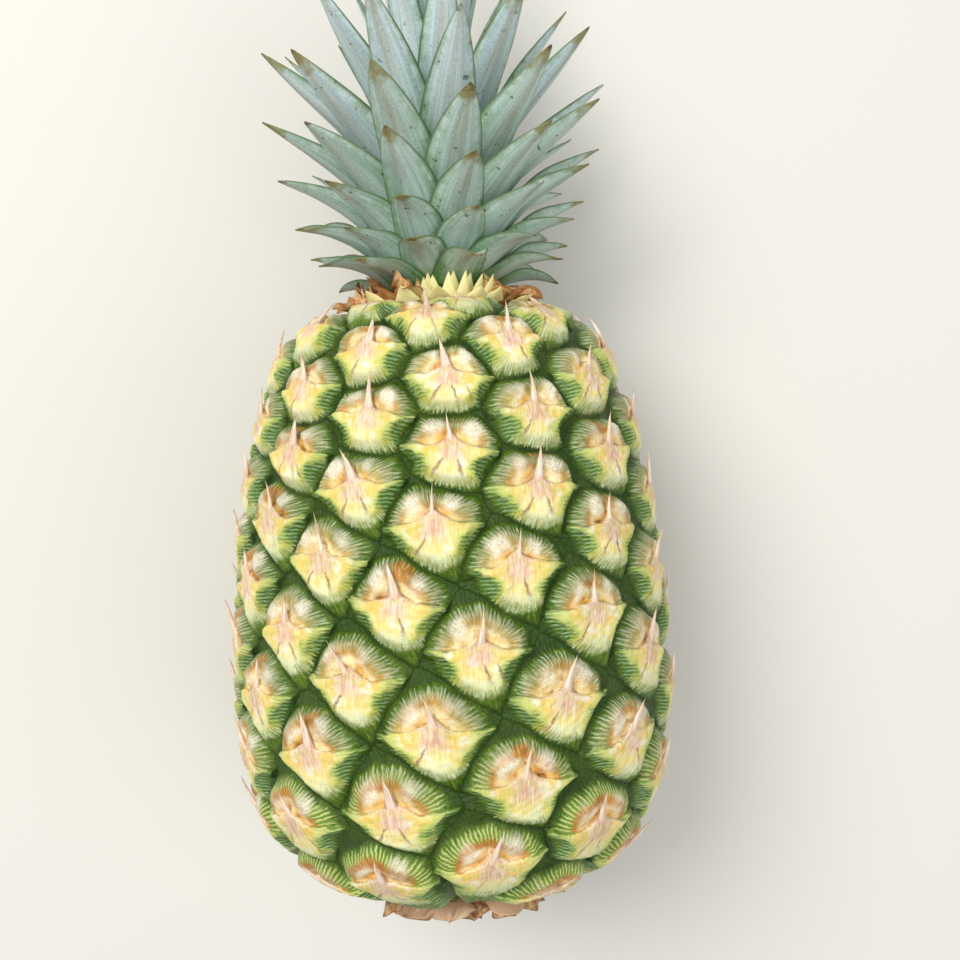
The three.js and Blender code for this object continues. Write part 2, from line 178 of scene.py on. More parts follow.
def place_eyes():
    """The turn, arc length and size of each eye k, by a spiral fitted to the eyes in view."""
    k = np.append(np.arange(FIRST_EYE, LAST_EYE + 1), TOP_EYES)
    q = k / 50
    even = -0.0387 - (TURN_STEP * k + 0.5094 * q**2 + 0.3517 * q**3)
    turn = even - (0.144 + 0.1419 * q) * np.sin(even)
    level = np.interp(SKIN_BELOW + EYE_SKIN * k - 3455 * q**2, SKIN, ARC)
    arc = level + (2.44 + 8.02 * q) * np.sin(even)
    size = np.sqrt((EYE_SKIN - 2.764 * k) / 700)
    return turn % (2 * math.pi), np.clip(arc, 0, ARC_LENGTH), size


EYE_TURN, EYE_ARC, EYE_SIZE = place_eyes()
EYES = len(EYE_TURN)
# What differs from eye to eye: the side that its marks favour, a tone that picks them, the width of
# its bract, the height of its lip at the spine, how it is turned, and how brown it is with age
EYE_SIDE = chance.choice([-1.0, 1.0], EYES, p=[0.7, 0.3])
EYE_TONE = chance.random(EYES)
EYE_WIDE = chance.uniform(0.86, 1.08, EYES)
EYE_LIP = chance.uniform(3.6, 5.2, EYES)
EYE_SPIN = chance.normal(0, 0.07, EYES)
EYE_AGE = np.clip(1 - EYE_ARC / ARC_LENGTH * 1.45, 0, 1) * chance.uniform(0.5, 1.1, EYES)

# An eye reaches further below the root of its spine than above it
EYE_MIDDLE = -2.0


def distance_to_eye(across, along, eye):
    """Distance, greater towards the hollow flanks of the bract, which neighbours bulge into."""
    angle = np.degrees(np.arctan2(along, np.abs(across)))
    hollow = 1 + 0.2 * hump(angle + 36, 15) + 0.04 * hump(angle + 90, 20)
    return np.hypot(across, along) / EYE_SIZE[eye] * hollow


def find_eyes(turn, arc):
    """For each point of a grid of turns and arcs: its eye, its place there across and along, and
    how far inside the eye's edge it is."""
    shape = (len(arc), len(turn))
    nearest = np.full(shape, 1e9)
    second = np.full(shape, 1e9)
    owner = np.zeros(shape, int)
    place = np.zeros((*shape, 2))
    for eye in range(EYES):
        ends = [EYE_ARC[eye] - EYE_REACH, EYE_ARC[eye] + EYE_REACH]
        rows = slice(*np.searchsorted(arc, ends))
        swing = (turn - EYE_TURN[eye] + math.pi) % (2 * math.pi) - math.pi
        across = radius_at(arc[rows])[:, None] * swing[None, :]
        along = np.broadcast_to(arc[rows][:, None] - EYE_ARC[eye], across.shape)
        cos, sin = math.cos(EYE_SPIN[eye]), math.sin(EYE_SPIN[eye])
        across, along = across * cos + along * sin, along * cos - across * sin
        far = distance_to_eye(across, along - EYE_MIDDLE, eye)
        closer = far < nearest[rows]
        second[rows] = np.where(closer, nearest[rows], np.minimum(second[rows], far))
        nearest[rows] = np.where(closer, far, nearest[rows])
        owner[rows] = np.where(closer, eye, owner[rows])
        spot = np.stack([across, along], -1) / EYE_SIZE[eye]
        place[rows] = np.where(closer[..., None], spot, place[rows])
    return owner, place[..., 0], place[..., 1], (second - nearest) / 2


# Half the width of a bract, from its hem below the spine up to its wings
SKIRT_AT = [-16, -13.5, -11, -9, -7, -5, -3.2, -2.0, -0.8, 0.6]
SKIRT_HALF = [9.4, 10.2, 9.2, 8.2, 8.1, 9.3, 11.4, 13.8, 16.4, 18]


def lip_line(across, eye):
    """The upper edge of a bract: level at its wings, and up round the root of its spine."""
    reach = np.abs(across)
    return -1.1 + EYE_LIP[eye] * np.exp(-reach / 2.9) + 0.05 * np.maximum(reach - 9, 0)


def lower_of(first, second, blend):
    """The smaller of two lengths, rounded where they meet."""
    share = np.clip(0.5 + 0.5 * (second - first) / blend, 0, 1)
    return second + (first - second) * share - blend * share * (1 - share)


def eye_marks(across, along, inside, eye, noise, fine):
    """What the rind shows at a point of an eye, and how high it stands there. The edges are
    distances in from the groove, in from the bract's outline and up from its lip."""
    side = across * EYE_SIDE[eye]
    reach = np.abs(across)
    tone = EYE_TONE[eye]
    # The bract below its lip, and the dome above it, with a groove round them both
    from_lip = along - lip_line(across, eye) - 0.55 * noise - 0.1 * fine
    skirt = np.interp(along, SKIRT_AT, SKIRT_HALF) * EYE_WIDE[eye] + 0.9 * noise + 0.35 * fine
    into = np.minimum(-from_lip, (skirt - reach) * 0.8)
    dome = (1 - np.hypot(across / 14.2, (along + 0.4) / 11.0)) * 12 + 0.5 * noise
    top = smooth(-0.3, 0.3, from_lip)
    inside = lower_of(inside, (dome + 1.3) * top + (into + 3.4) * (1 - top), 1.5)
    bract = smooth(-0.3, 0.3, into)
    # A swollen, pale lobe on either side of the spine
    lobe = hump(reach - 5.8, 2.6) * hump(along - 4.6, 2.7)
    pale = hump(reach - 5.4, 2.2) * hump(along - 4.6, 2.3) * (0.85 + 0.5 * noise) * top
    # Gold beside the root of the spine and along the lip, stronger on one side
    gold = hump(reach - 2.6, 1.7) * hump(along - 0.9, 1.9)
    gold += 0.4 * hump(reach - 7.5, 2.4) * hump(from_lip - 0.8, 0.8)
    one_side = (tone * 7.3 % 1) * smooth(-2, 2, side)
    gold = gold * (0.45 + 0.55 * one_side + 0.4 * noise) * top
    # A brown patch over the spine of some eyes, a brown arc on old ones, and pits at the lip, sunk
    # and darkened with painted shade
    patch = hump(side + 1.4 + fine, 2.4) * hump(along - 7.4 - noise, 1.5)
    patch = patch * smooth(0.15, 0.8, tone) * top
    aged = EYE_AGE[eye] * hump(inside - 5.2, 1.2) * smooth(-1, 6, along) * top
    pit = hump(side - 4.6, 1.5) * hump(from_lip - 0.4, 0.45) * (tone > 0.55)
    pit = np.maximum(pit, 0.6 * hump(side + 3.8, 0.9) * hump(from_lip - 0.4, 0.4) * (tone < 0.3))
    # The height. The wings of the bract bridge part of the groove
    raised = bract * (0.3 + 0.9 * smooth(-10, -1, along)) * smooth(16, 9, reach)
    wing = hump(from_lip + 0.9, 1.0) * smooth(8, 12, reach) * smooth(18.5, 15.5, reach)
    groove = GROOVE_DEPTH * (1 - smooth(-0.4, 4.2, inside)) * (1 - 0.6 * wing)
    height = raised + lobe * top - groove
    height -= 0.7 * hump(across, 1.8) * hump(along - 6, 3.6) * top
    height -= 0.9 * pit + 0.6 * hump(from_lip - 0.9, 0.8) * smooth(8.5, 3.5, reach) + 0.12 * fine
    traits = np.stack([pale, gold, np.maximum(aged, patch), pit], -1)
    return np.stack([inside, into, from_lip], -1), np.clip(traits, 0, 1), height


# Making meshes


def lifted(points):
    """Points of the fruit, with those under the floor raised to it."""
    sunk = np.maximum(FLOOR_CLEARANCE * MM - to_world(points)[..., 2], 0) / MM
    return points + sunk[..., None] * LIE[2]


def mesh_from(name, points, *face_sets):
    """A smooth mesh from points of the fruit, and faces as rows of the numbers of their points."""
    mesh = bpy.data.meshes.new(name)
    mesh.vertices.add(len(points))
    mesh.vertices.foreach_set("co", to_world(points).astype(np.float32).ravel())
    corners = np.concatenate([np.ravel(faces) for faces in face_sets]).astype(np.int32)
    counts = np.concatenate([np.full(len(faces), faces.shape[1]) for faces in face_sets])
    mesh.loops.add(len(corners))
    mesh.loops.foreach_set("vertex_index", corners)
    mesh.polygons.add(len(counts))
    mesh.polygons.foreach_set("loop_start", (np.cumsum(counts) - counts).astype(np.int32))
    mesh.update(calc_edges=True)
    mesh.validate()
    mesh.polygons.foreach_set("use_smooth", np.ones(len(counts), bool))
    piece = bpy.data.objects.new(name, mesh)
    scene.collection.objects.link(piece)
    return piece


def give_vector(piece, name, vectors):
    """Stores three or four numbers for each point of a piece."""
    four = vectors.shape[-1] == 4
    held = piece.data.attributes.new(name, "FLOAT_COLOR" if four else "FLOAT_VECTOR", "POINT")
    held.data.foreach_set("color" if four else "vector", vectors.astype(np.float32).ravel())


def points_of(piece):
    return np.array([v.co for v in piece.data.vertices])


def joined(pieces, name):
    """The pieces as one, under a new name."""
    bpy.ops.object.select_all(action="DESELECT")
    for piece in pieces:
        piece.select_set(True)
    bpy.context.view_layer.objects.active = pieces[0]
    bpy.ops.object.join()
    pieces[0].name = name
    pieces[0].data.name = name
    return pieces[0]


def grid_faces(rows, columns, closed):
    """Quads of a grid whose points run row by row, closed round each row or open."""
    row = np.arange(rows - 1)[:, None]
    column = np.arange(columns if closed else columns - 1)[None, :]
    after = (column + 1) % columns
    here, above = row * columns, (row + 1) * columns
    corners = np.broadcast_arrays(here + column, here + after, above + after, above + column)
    return np.stack(corners, -1).reshape(-1, 4)


# Colours and materials


def colour(code):
    """An sRGB hex value as a linear colour."""
    parts = [int(code[i : i + 2], 16) / 255 for i in (1, 3, 5)]
    return (*[c / 12.92 if c <= 0.04045 else ((c + 0.055) / 1.055) ** 2.4 for c in parts], 1.0)


def new_material(name):
    made = bpy.data.materials.new(name)
    made.use_nodes = True
    return made, made.node_tree, made.node_tree.nodes["Principled BSDF"]


def give(tree, socket, value):
    """Gives an input a number, a hex colour or the output of another node."""
    if isinstance(value, bpy.types.NodeSocket):
        tree.links.new(value, socket)
    else:
        socket.default_value = colour(value) if isinstance(value, str) else value


def add(tree, kind, *inputs, **settings):
    """Adds a node with its settings, and gives its inputs their values in order. Returns its
    output, or all of them where it has several."""
    node = tree.nodes.new("ShaderNode" + kind)
    for name, value in settings.items():
        setattr(node, name, value)
    for socket, value in zip([s for s in node.inputs if s.enabled], inputs):
        give(tree, socket, value)
    outputs = [s for s in node.outputs if s.enabled]
    return outputs[0] if len(outputs) == 1 else outputs


def share_of(tree, strength, *spans):
    """A share that reaches its strength where each value has gone from its low to its high."""
    for value, low, high in spans:
        part = add(tree, "MapRange", value, low, high, 0.0, 1.0, interpolation_type="SMOOTHSTEP")
        strength = add(tree, "Math", part, strength, operation="MULTIPLY")
    return strength


def coats(tree, skin, *layers):
    """Lays colours over a skin, each as its colour, its strength and the spans it shows in."""
    for over, strength, *spans in layers:
        share = share_of(tree, strength, *spans)
        skin = add(tree, "Mix", share, skin, over, data_type="RGBA")
    return skin


def stored(tree, name):
    """A vector that the points of a piece hold, and its three numbers."""
    vector = add(tree, "Attribute", attribute_name=name)[1]
    return vector, *add(tree, "SeparateXYZ", vector)


def grain(tree, where, stretch, detail, roughness):
    """Noise with a grain: stretch is how many times finer it is along each axis."""
    stretched = add(tree, "VectorMath", where, stretch, operation="MULTIPLY")
    return add(tree, "TexNoise", stretched, 1.0, detail, roughness)[0]


def distance_from(tree, value, middle):
    """How far a value is from another, either way."""
    offset = add(tree, "Math", value, middle, operation="SUBTRACT")
    return add(tree, "Math", offset, operation="ABSOLUTE")


def ridges(tree, value, spacing, noise, waver):
    """Ridges from 0 to 1 along a value at that spacing, which waver with a noise."""
    phase = add(tree, "Math", value, 2 * math.pi / spacing, operation="MULTIPLY")
    phase = add(tree, "Math", noise, waver, phase, operation="MULTIPLY_ADD")
    return add(tree, "MapRange", add(tree, "Math", phase, operation="SINE"), -0.6, 1.0, 0.0, 1.0)


def finish_with(tree, shader, skin, roughness, relief, strength, depth):
    """Gives a surface its colour, roughness, and relief in metres of depth."""
    bump = add(tree, "Bump", strength, depth, 0.1, relief)
    for name, value in {"Base Color": skin, "Roughness": roughness, "Normal": bump}.items():
        give(tree, shader.inputs[name], value)


def rind_material():
    """Ripe rind: a thin waxy skin with a soft gloss. Woolly hairs grey the rim of each eye, and its
    papery bract is yellow, pinkish at the spine and green at the wings and the hem."""
    made, tree, shader = new_material("ripe_rind")
    place = add(tree, "TexCoord")[3]
    where, across, along, tone = stored(tree, "eye_place")
    _, inside, into, from_lip = stored(tree, "eye_edges")
    traits = add(tree, "Attribute", attribute_name="eye_traits")
    pale, gold, aged = add(tree, "SeparateColor", traits[0])
    pit = traits[3]
    _, station, radius, _ = stored(tree, "skin_place")
    low = (station, 66.0, 26.0)
    reach = add(tree, "Math", across, operation="ABSOLUTE")

    # Noises, each with its size in mm, its detail and its roughness
    noises = [(0.5, 2.0, 0.6), (2, 3.0, 0.6), (4.5, 2.0, 0.5), (12, 2.0, 0.5)]
    speckle, mottle, blotch, broad = (
        add(tree, "TexNoise", place, 1 / (size * MM), *rest)[0] for size, *rest in noises
    )
    # 60 ridges run out from the middle of the eye, 1.3 mm apart at its rim, with uneven hairs
    above = add(tree, "Math", along, 1.0, operation="ADD")
    angle = add(tree, "Math", above, across, operation="ARCTAN2")
    outward = add(tree, "CombineXYZ", angle, inside, tone)
    strands = grain(tree, outward, (24.0, 0.32, 37.0), 3.0, 0.6)
    comb = ridges(tree, angle, 2 * math.pi / 60, mottle, 6.5)
    strand = share_of(tree, 0.65, (strands, 0.36, 0.64))
    hairs = add(tree, "Math", comb, 0.4, strand, operation="MULTIPLY_ADD")
    # Level ridges beside the bract, 1.1 mm apart, and fibres down it
    level = ridges(tree, along, 1.1, mottle, 6.0)
    fibres = grain(tree, where, (1.5, 0.2, 40.0), 3.0, 0.6)
    ragged = add(tree, "Math", mottle, 1.2, inside, operation="MULTIPLY_ADD")
    combed = add(tree, "Math", hairs, 1.0, ragged, operation="MULTIPLY_ADD")

    green = coats(
        tree,
        "#40620E",
        ("#8BA438", 0.55, (hairs, 0.25, 0.9), (inside, 0.2, 1.2)),
        ("#9DB558", 0.4, (speckle, 0.52, 0.72)),
        ("#63801C", 0.6, (blotch, 0.42, 0.62)),
        ("#24400C", 0.8, (ragged, 2.2, 0.6)),
    )
    # The top of the eye from its rim inwards: pale hair tips and grey wool, whose light stripes
    # along the hairs are partly their own colour and partly painted glint, an olive or brown ring
    # and a cream middle. Low on the fruit the hairs are yellow-green ribs, and the ring is orange
    rib = coats(tree, "#6E922A", ("#D3DA80", 1.0, (comb, 0.25, 0.8)))
    hoary = coats(tree, "#5E7F34", ("#C3CDAE", 0.85, (hairs, 0.25, 0.95)), (rib, 0.75, low))
    wool = coats(
        tree,
        "#92935A",
        ("#CBCAA4", 0.85, (hairs, 0.25, 0.95)),
        ("#5F6846", 0.55, (tone, 0.4, 0.75), (strands, 0.56, 0.36)),
        (rib, 0.9, low),
    )
    ring = coats(tree, "#A2914A", ("#D3BC76", 0.9, (strands, 0.36, 0.64)))
    ring = coats(tree, ring, ("#C07C30", 0.8, (tone, 0.1, 0.6), (mottle, 0.33, 0.58)))
    ring = coats(tree, ring, ("#BE7426", 0.7, low))
    cream = coats(tree, "#EDC878", ("#FAE9B8", 1.0, (mottle, 0.32, 0.6)))
    cream = coats(tree, cream, ("#FFF9E6", 0.5, (speckle, 0.5, 0.7)), ("#F5CD98", 0.55, low))
    white = coats(tree, "#E4D4A4", ("#FEFAEE", 1.0, (speckle, 0.36, 0.58)))
    rust = coats(tree, "#A8621F", ("#DE9E4A", 1.0, (strands, 0.36, 0.66)))
    honey = coats(tree, "#F9C45C", ("#CB8224", 1.0, (mottle, 0.42, 0.66)))
    top = coats(
        tree,
        green,
        (hoary, 0.95, (combed, 2.3, 3.3)),
        (wool, 1.0, (combed, 3.2, 4.2)),
        (ring, 1.0, (combed, 5.2, 6.6)),
        (cream, 1.0, (ragged, 6.0, 8.0)),
        (white, 0.85, (pale, 0.12, 0.9), (hairs, -0.7, 0.5)),
        (rust, 0.8, (aged, 0.05, 0.8)),
        (honey, 0.85, (gold, 0.06, 0.8)),
    )
    # The bract, from its yellow to the green of its wings and the fuzz of its hem
    skirt = add(tree, "Math", mottle, 3.6, along, operation="MULTIPLY_ADD")
    wing = add(tree, "Math", mottle, 3.0, reach, operation="MULTIPLY_ADD")
    hem = add(tree, "Math", reach, -0.32, skirt, operation="MULTIPLY_ADD")
    ruffled = add(tree, "Math", mottle, 2.2, into, operation="MULTIPLY_ADD")
    fringe = coats(tree, "#6A9032", ("#C2CF86", 0.85, (level, 0.3, 0.95)))
    fuzz = coats(tree, "#8FA452", ("#E6EBC8", 0.8, (strands, 0.34, 0.66), (speckle, 0.3, 0.5)))
    blush = coats(tree, "#DBA78E", ("#F8D9C2", 1.0, (fibres, 0.35, 0.62)))
    # The tips of the wings: green, with light streaks on the level ridges that are painted glints
    wing_tip = coats(tree, "#5E8A2E", ("#C3D08C", 1.0, (level, 0.3, 0.9)))
    beside_spine = [(reach, 1.6, 4.2), (reach, 11.5, 6.5)]
    near_hem = [(reach, 5.0, 7.5), (skirt, -2.2, -4.0), (skirt, -8.5, -6.0)]
    bract = coats(
        tree,
        "#F6DB7A",
        ("#FDF2BA", 1.0, (fibres, 0.35, 0.65)),
        ("#F6C858", 0.85, *beside_spine, (skirt, -5.5, -1.0), (blotch, 0.32, 0.55)),
        ("#F0CE44", 0.6, (reach, 1.5, 5.0), (skirt, -4.0, -7.5), (blotch, 0.62, 0.4)),
        ("#FFFCEC", 0.7, (blotch, 0.52, 0.66), (skirt, -9.0, -5.0)),
        (blush, 0.9, (reach, 5.4, 1.6), (skirt, -5.4, -1.4)),
        ("#E9F1E0", 0.7, *near_hem, (speckle, 0.4, 0.56)),
        ("#C8CE5C", 0.8, (ruffled, 4.6, 2.6), (from_lip, -1.2, -3.0)),
        (fringe, 0.95, (ruffled, 3.2, 1.6), (from_lip, -1.2, -3.0)),
        ("#CDCB5A", 0.7, (hem, -7.8, -10.4)),
        ("#DEE9C6", 0.85, (reach, 6.5, 3.5), (hem, -6.4, -8.8), (strands, 0.34, 0.56)),
        (fuzz, 0.85, (hem, -9.2, -11.4)),
        (green, 1.0, (hem, -11.4, -13.6)),
        ("#CBD476", 0.9, (wing, 9.6, 12.6)),
        (wing_tip, 0.9, (wing, 12.6, 16.5)),
    )
    # Up to three creases run down from the spine, each at its own place and slope, and the last
    # number is the share of the eyes that lack it
    creases = [(-1.9, -0.62, 0.2), (1.3, 0.34, 0.35), (4.4, 0.5, 0.8)]
    crease = coats(tree, "#5E4032", ("#B08A74", 1.0, (speckle, 0.4, 0.6)))
    below = add(tree, "Math", -4.0, along, operation="SUBTRACT")
    wide = add(tree, "Math", below, 0.07, 0.2, operation="MULTIPLY_ADD")
    for n, (foot, slope, lacking) in enumerate(creases):
        rates = (13.7 + 7.9 * n, 29.3 + 5.1 * n)
        mixed = [add(tree, "Math", tone, rate, operation="MULTIPLY") for rate in rates]
        shift, drawn = (add(tree, "Math", value, operation="FRACT") for value in mixed)
        line = foot - 1.7
        for value, factor in [(below, slope), (shift, 1.6), (mottle, 2.0)]:
            line = add(tree, "Math", value, factor, line, operation="MULTIPLY_ADD")
        away = distance_from(tree, across, line)
        away = add(tree, "Math", away, wide, operation="DIVIDE")
        ends = [(below, 0.0, 1.4), (below, 7.2, 3.6)]
        shown = (drawn, lacking, lacking + 0.15)
        bract = coats(tree, bract, (crease, 0.75, (away, 1.7, 0.4), *ends, shown))
    # Beside the bract: green with feathery hairs on level ridges, and blue-white stripes on the
    # ridges that are painted glints
    flank = coats(
        tree,
        green,
        ("#6A9438", 0.6, (into, -2.6, -0.4)),
        ("#34611C", 0.5, (level, 0.6, 0.0), (into, -4.0, -1.5), (along, -0.6, -2.6)),
        ("#BDD4BC", 0.5, (level, 0.3, 0.95), (into, -2.8, -0.5), (along, -0.6, -2.6)),
    )
    frayed = add(tree, "Math", speckle, 1.2, into, operation="MULTIPLY_ADD")
    under = coats(tree, flank, (bract, 1.0, (frayed, 0.2, 1.0)))
    skin = coats(tree, top, (under, 1.0, (from_lip, 0.15, -0.15)))
    # The lip: a painted highlight along its edge with a painted brown shadow line above it, and
    # painted dark brown shade in the pits beside the spine
    edge = distance_from(tree, from_lip, -0.3)
    shade = distance_from(tree, from_lip, 0.4)
    hollow = coats(tree, "#6A3A12", ("#B8762A", 1.0, (speckle, 0.4, 0.6)))
    skin = coats(
        tree,
        skin,
        ("#FFF1D6", 0.45, (edge, 0.4, 0.1), (reach, 9.0, 5.0)),
        ("#9A5E24", 0.6, (shade, 0.55, 0.1), (reach, 7.0, 3.0), (blotch, 0.38, 0.58)),
        (hollow, 0.9, (pit, 0.2, 0.9)),
    )
    # The groove, with the longest hairs and the tips of the wings over it, and both dried ends
    tip = distance_from(tree, from_lip, -0.8)
    tip = share_of(tree, 0.85, (tip, 1.3, 0.3), (reach, 9.0, 11.0), (reach, 17.5, 14.0))
    uncovered = add(tree, "Math", 1.0, tip, operation="SUBTRACT")
    ended = add(tree, "Math", mottle, 4.0, radius, operation="MULTIPLY_ADD")
    dried = coats(tree, "#6E4E30", ("#B08C62", 1.0, (speckle, 0.38, 0.62)))
    skin = coats(
        tree,
        skin,
        (green, uncovered, (combed, 2.6, 1.6)),
        ("#7D8A34", 0.14, (broad, 0.4, 0.7)),
        (dried, 0.9, (ended, 35.0, 32.5)),
    )
    relief = add(tree, "Math", share_of(tree, 1.0, (ragged, 5.5, 3.5)), hairs, operation="MULTIPLY")
    for part in (speckle, fibres):
        relief = add(tree, "Math", part, 0.6, relief, operation="MULTIPLY_ADD")
    dullness = add(tree, "Math", speckle, 0.25, 0.34, operation="MULTIPLY_ADD")
    finish_with(tree, shader, skin, dullness, relief, 0.6, 0.6 * MM)
    shader.inputs["Specular IOR Level"].default_value = 0.35
    return made


# The skin of the fruit


def make_skin(material):
    """The rind with its eyes: a grid round the fruit, cut into bands that share their normals where
    they meet, so that no seam shows."""
    turns = np.linspace(0, 2 * math.pi, SKIN_COLUMNS, endpoint=False)
    arcs = np.linspace(0, ARC_LENGTH, int(ARC_LENGTH / SKIN_STEP))
    turn, arc = np.meshgrid(turns, arcs)
    bare = on_skin(turn, arc, np.zeros_like(arc))
    noise, fine = wobble(bare, 9, 1), wobble(bare, 2.6, 2)
    owner, across, along, inside = find_eyes(turns, arcs)
    edges, traits, height = eye_marks(across, along, inside, owner, noise, fine)
    # The grooves run out towards both flat ends
    edge = np.minimum(smooth(0, 5, arc), smooth(ARC_LENGTH, ARC_LENGTH - 6, arc))
    height = np.where(height < 0, height * edge, height)
    skin = lifted(on_skin(turn, arc, height))
    normals = surface_normals(skin)
    held_by_point = {
        "eye_place": np.stack([across, along, EYE_TONE[owner]], -1),
        "eye_edges": edges,
        "eye_traits": traits,
        "skin_place": np.stack([bare[..., 1], radius_at(arc), turn], -1),
    }
    steps = len(arcs) - 1
    pieces = []
    for n in range(RIND_BANDS):
        first, last = n * steps // RIND_BANDS, (n + 1) * steps // RIND_BANDS + 1
        points = skin[first:last].reshape(-1, 3)
        facing = normals[first:last].reshape(-1, 3)
        held = {
            name: values[first:last].reshape(-1, values.shape[-1])
            for name, values in held_by_point.items()
        }
        face_sets = [grid_faces(last - first, SKIN_COLUMNS, True)]
        if n in (0, RIND_BANDS - 1):
            # The flat end is closed by a fan to the axis
            way, ring = (-1, 0) if n == 0 else (1, (last - first - 1) * SKIN_COLUMNS)
            points = np.append(points, [[0, points[ring, 1], 0]], 0)
            facing = np.append(facing, [[0, way, 0]], 0)
            for name, values in held.items():
                held[name] = np.append(values, values[ring : ring + 1], 0)
            here = ring + np.arange(SKIN_COLUMNS)
            middle, after = np.full(SKIN_COLUMNS, len(points) - 1), np.roll(here, -1)
            fan = [middle, here, after] if way > 0 else [middle, after, here]
            face_sets.append(np.stack(fan, -1))
        piece = mesh_from(f"rind_band_{n + 1}", points, *face_sets)
        for name, vectors in held.items():
            give_vector(piece, name, vectors)
        piece.data.normals_split_custom_set_from_vertices((facing @ LIE.T).astype(np.float32))
        piece.data.materials.append(material)
        pieces.append(piece)
    return pieces


def surface_normals(points):
    """Outward normals of a grid that is closed round its rows."""
    along_row = np.roll(points, -1, axis=1) - np.roll(points, 1, axis=1)
    up = np.gradient(points, axis=0)
    normal = np.cross(along_row, up)
    return normal / np.linalg.norm(normal, axis=-1, keepdims=True)


skin_pieces = make_skin(rind_material())
for piece in skin_pieces:
    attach(piece, "root")
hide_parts("fruit_body")

# The spines: one on each eye, flared at its root, leaning, and lifted off the fruit towards its tip

SPINE_STATIONS = 13
SPINE_SIDES = 8


def make_spines(material):
    """One mesh of closed spines. Each stands on the lip of its eye, and t is 1 at its tip."""
    t = np.linspace(0, 1, SPINE_STATIONS)[:, None]
    turn_round = np.arange(SPINE_SIDES) * 2 * math.pi / SPINE_SIDES
    points, places = [], []
    for eye in range(EYES):
        length = chance.uniform(9.5, 13) * EYE_SIZE[eye]
        slim = chance.uniform(0.55, 1.1) if chance.random() < 0.75 else chance.uniform(0.3, 0.5)
        lean, sway = chance.normal(0, 0.17) + EYE_SPIN[eye], chance.normal(0, 1.3)
        lift = chance.uniform(1.2, 3.0)
        curl = chance.uniform(-0.5, 1.5)
        along = -0.6 + length * t * math.cos(lean)
        across = length * t * math.sin(lean) + sway * t**2.2
        # The flare of the root is added to the taper, and the sides of the spine hang a little
        half = (1.9 * (1 - t) ** 0.95 * slim + 2.2 * np.exp(-t / 0.1)) * (1 - t**8)
        deep = (0.75 * (1 - t) ** 0.7 + 0.1) * (1 - t**10)
        height = 0.35 + lift * t**1.4 + curl * t**3 + 0.25 * np.sin(math.pi * t)
        wide = across + half * np.cos(turn_round)
        raised = height + deep * np.sin(turn_round) - 0.125 * (np.abs(np.cos(turn_round)) * half)
        along = np.broadcast_to(along, wide.shape)
        arc = EYE_ARC[eye] + along * EYE_SIZE[eye] ** 0.3
        local = radius_at(np.clip(EYE_ARC[eye] + along * 0.6, 0, ARC_LENGTH))
        turn = EYE_TURN[eye] + wide / np.maximum(local, 20)
        points.append(on_skin(turn, np.clip(arc, 0, ARC_LENGTH + 8), raised))
        places.append(np.stack(np.broadcast_arrays(wide - across, t, EYE_TONE[eye]), -1))
    points, places = lifted(np.array(points)), np.array(places)
    face = grid_faces(SPINE_STATIONS, SPINE_SIDES, True)[:, ::-1]
    ends = np.array([[0, 1, 2, 3], [0, 3, 4, 7], [4, 5, 6, 7]])
    caps = np.concatenate([ends, (ends + (SPINE_STATIONS - 1) * SPINE_SIDES)[:, ::-1]])
    face = np.concatenate([face, caps])
    starts = np.arange(EYES) * SPINE_STATIONS * SPINE_SIDES
    faces = (face[None] + starts[:, None, None]).reshape(-1, 4)
    piece = mesh_from("eye_spines", points.reshape(-1, 3), faces)
    give_vector(piece, "spine_place", places.reshape(-1, 3))
    piece.data.materials.append(material)
    return piece


def spine_material():
    """Dried spine: papery, dull, streaked lengthwise, pinkish at its root and brown at its tip."""
    made, tree, shader = new_material("dried_spine")
    where, across, along, tone = stored(tree, "spine_place")
    streaks = grain(tree, where, (2.6, 1.6, 30.0), 2.0, 0.5)
    reach = add(tree, "Math", across, operation="ABSOLUTE")
    skin = coats(
        tree,
        "#F4DCC6",
        ("#C59A7C", 0.75, (streaks, 0.42, 0.7)),
        ("#FCF1E8", 0.6, (streaks, 0.45, 0.3)),
        ("#DDB5A2", 0.75, (along, 0.25, 0.03)),
        ("#A9765A", 0.5, (reach, 0.6, 1.6)),
        ("#8C5C3C", 0.75, (along, 0.7, 1.0), (tone, 0.25, 0.6)),
    )
    finish_with(tree, shader, skin, 0.6, streaks, 0.4, 0.4 * MM)
    return made


spines = make_spines(spine_material())
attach(spines, "root")

# Blades: leaves and bracts, each a sheet shaped along a midline in a plane through the axis


